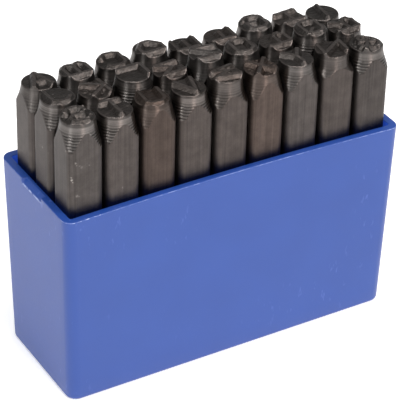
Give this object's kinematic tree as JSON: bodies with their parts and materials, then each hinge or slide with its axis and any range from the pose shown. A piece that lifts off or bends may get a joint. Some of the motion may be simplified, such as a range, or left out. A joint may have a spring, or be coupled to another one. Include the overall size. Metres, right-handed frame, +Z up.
{
  "type": "letter punch set in an open case",
  "caption": "Open plastic case holding square-shank steel letter punches in rows, turned heads up, each lifting out on its own.",
  "frame": {"origin": "centre of the case's underside, on the surface it stands on", "axes": "+X along the case's long side to the right, -Y towards the front wall, +Z up out of the open case"},
  "size_m": [0.1036, 0.039, 0.087],
  "materials": {
    "blue_plastic": "satin moulded polypropylene, deep blue",
    "blackened_steel": "drawn and turned tool steel, brown-black oxide"
  },
  "bodies": {
    "case": {"case_box": "blue_plastic"},
    "punch_a_body": {"punch_a": "blackened_steel"},
    "punch_b_body": {"punch_b": "blackened_steel"},
    "punch_c_body": {"punch_c": "blackened_steel"},
    "punch_d_body": {"punch_d": "blackened_steel"},
    "punch_e_body": {"punch_e": "blackened_steel"},
    "punch_f_body": {"punch_f": "blackened_steel"},
    "punch_g_body": {"punch_g": "blackened_steel"},
    "punch_h_body": {"punch_h": "blackened_steel"},
    "punch_i_body": {"punch_i": "blackened_steel"},
    "punch_j_body": {"punch_j": "blackened_steel"},
    "punch_k_body": {"punch_k": "blackened_steel"},
    "punch_l_body": {"punch_l": "blackened_steel"},
    "punch_m_body": {"punch_m": "blackened_steel"},
    "punch_n_body": {"punch_n": "blackened_steel"},
    "punch_o_body": {"punch_o": "blackened_steel"},
    "punch_p_body": {"punch_p": "blackened_steel"},
    "punch_q_body": {"punch_q": "blackened_steel"},
    "punch_r_body": {"punch_r": "blackened_steel"},
    "punch_s_body": {"punch_s": "blackened_steel"},
    "punch_t_body": {"punch_t": "blackened_steel"},
    "punch_u_body": {"punch_u": "blackened_steel"},
    "punch_v_body": {"punch_v": "blackened_steel"},
    "punch_w_body": {"punch_w": "blackened_steel"},
    "punch_x_body": {"punch_x": "blackened_steel"},
    "punch_y_body": {"punch_y": "blackened_steel"},
    "punch_z_body": {"punch_z": "blackened_steel"},
    "punch_ampersand_body": {"punch_ampersand": "blackened_steel"}
  },
  "joints": [
    {"name": "punch_a_lift", "type": "slide", "parent": "case", "child": "punch_a_body", "axis": [0, 0, 1], "range_m": [0, 0.06]},
    {"name": "punch_b_lift", "type": "slide", "parent": "case", "child": "punch_b_body", "axis": [0, 0, 1], "range_m": [0, 0.06]},
    {"name": "punch_c_lift", "type": "slide", "parent": "case", "child": "punch_c_body", "axis": [0, 0, 1], "range_m": [0, 0.06]},
    {"name": "punch_d_lift", "type": "slide", "parent": "case", "child": "punch_d_body", "axis": [0, 0, 1], "range_m": [0, 0.06]},
    {"name": "punch_e_lift", "type": "slide", "parent": "case", "child": "punch_e_body", "axis": [0, 0, 1], "range_m": [0, 0.06]},
    {"name": "punch_f_lift", "type": "slide", "parent": "case", "child": "punch_f_body", "axis": [0, 0, 1], "range_m": [0, 0.06]},
    {"name": "punch_g_lift", "type": "slide", "parent": "case", "child": "punch_g_body", "axis": [0, 0, 1], "range_m": [0, 0.06]},
    {"name": "punch_h_lift", "type": "slide", "parent": "case", "child": "punch_h_body", "axis": [0, 0, 1], "range_m": [0, 0.06]},
    {"name": "punch_i_lift", "type": "slide", "parent": "case", "child": "punch_i_body", "axis": [0, 0, 1], "range_m": [0, 0.06]},
    {"name": "punch_j_lift", "type": "slide", "parent": "case", "child": "punch_j_body", "axis": [0, 0, 1], "range_m": [0, 0.06]},
    {"name": "punch_k_lift", "type": "slide", "parent": "case", "child": "punch_k_body", "axis": [0, 0, 1], "range_m": [0, 0.06]},
    {"name": "punch_l_lift", "type": "slide", "parent": "case", "child": "punch_l_body", "axis": [0, 0, 1], "range_m": [0, 0.06]},
    {"name": "punch_m_lift", "type": "slide", "parent": "case", "child": "punch_m_body", "axis": [0, 0, 1], "range_m": [0, 0.06]},
    {"name": "punch_n_lift", "type": "slide", "parent": "case", "child": "punch_n_body", "axis": [0, 0, 1], "range_m": [0, 0.06]},
    {"name": "punch_o_lift", "type": "slide", "parent": "case", "child": "punch_o_body", "axis": [0, 0, 1], "range_m": [0, 0.06]},
    {"name": "punch_p_lift", "type": "slide", "parent": "case", "child": "punch_p_body", "axis": [0, 0, 1], "range_m": [0, 0.06]},
    {"name": "punch_q_lift", "type": "slide", "parent": "case", "child": "punch_q_body", "axis": [0, 0, 1], "range_m": [0, 0.06]},
    {"name": "punch_r_lift", "type": "slide", "parent": "case", "child": "punch_r_body", "axis": [0, 0, 1], "range_m": [0, 0.06]},
    {"name": "punch_s_lift", "type": "slide", "parent": "case", "child": "punch_s_body", "axis": [0, 0, 1], "range_m": [0, 0.06]},
    {"name": "punch_t_lift", "type": "slide", "parent": "case", "child": "punch_t_body", "axis": [0, 0, 1], "range_m": [0, 0.06]},
    {"name": "punch_u_lift", "type": "slide", "parent": "case", "child": "punch_u_body", "axis": [0, 0, 1], "range_m": [0, 0.06]},
    {"name": "punch_v_lift", "type": "slide", "parent": "case", "child": "punch_v_body", "axis": [0, 0, 1], "range_m": [0, 0.06]},
    {"name": "punch_w_lift", "type": "slide", "parent": "case", "child": "punch_w_body", "axis": [0, 0, 1], "range_m": [0, 0.06]},
    {"name": "punch_x_lift", "type": "slide", "parent": "case", "child": "punch_x_body", "axis": [0, 0, 1], "range_m": [0, 0.06]},
    {"name": "punch_y_lift", "type": "slide", "parent": "case", "child": "punch_y_body", "axis": [0, 0, 1], "range_m": [0, 0.06]},
    {"name": "punch_z_lift", "type": "slide", "parent": "case", "child": "punch_z_body", "axis": [0, 0, 1], "range_m": [0, 0.06]},
    {"name": "punch_ampersand_lift", "type": "slide", "parent": "case", "child": "punch_ampersand_body", "axis": [0, 0, 1], "range_m": [0, 0.06]}
  ]
}
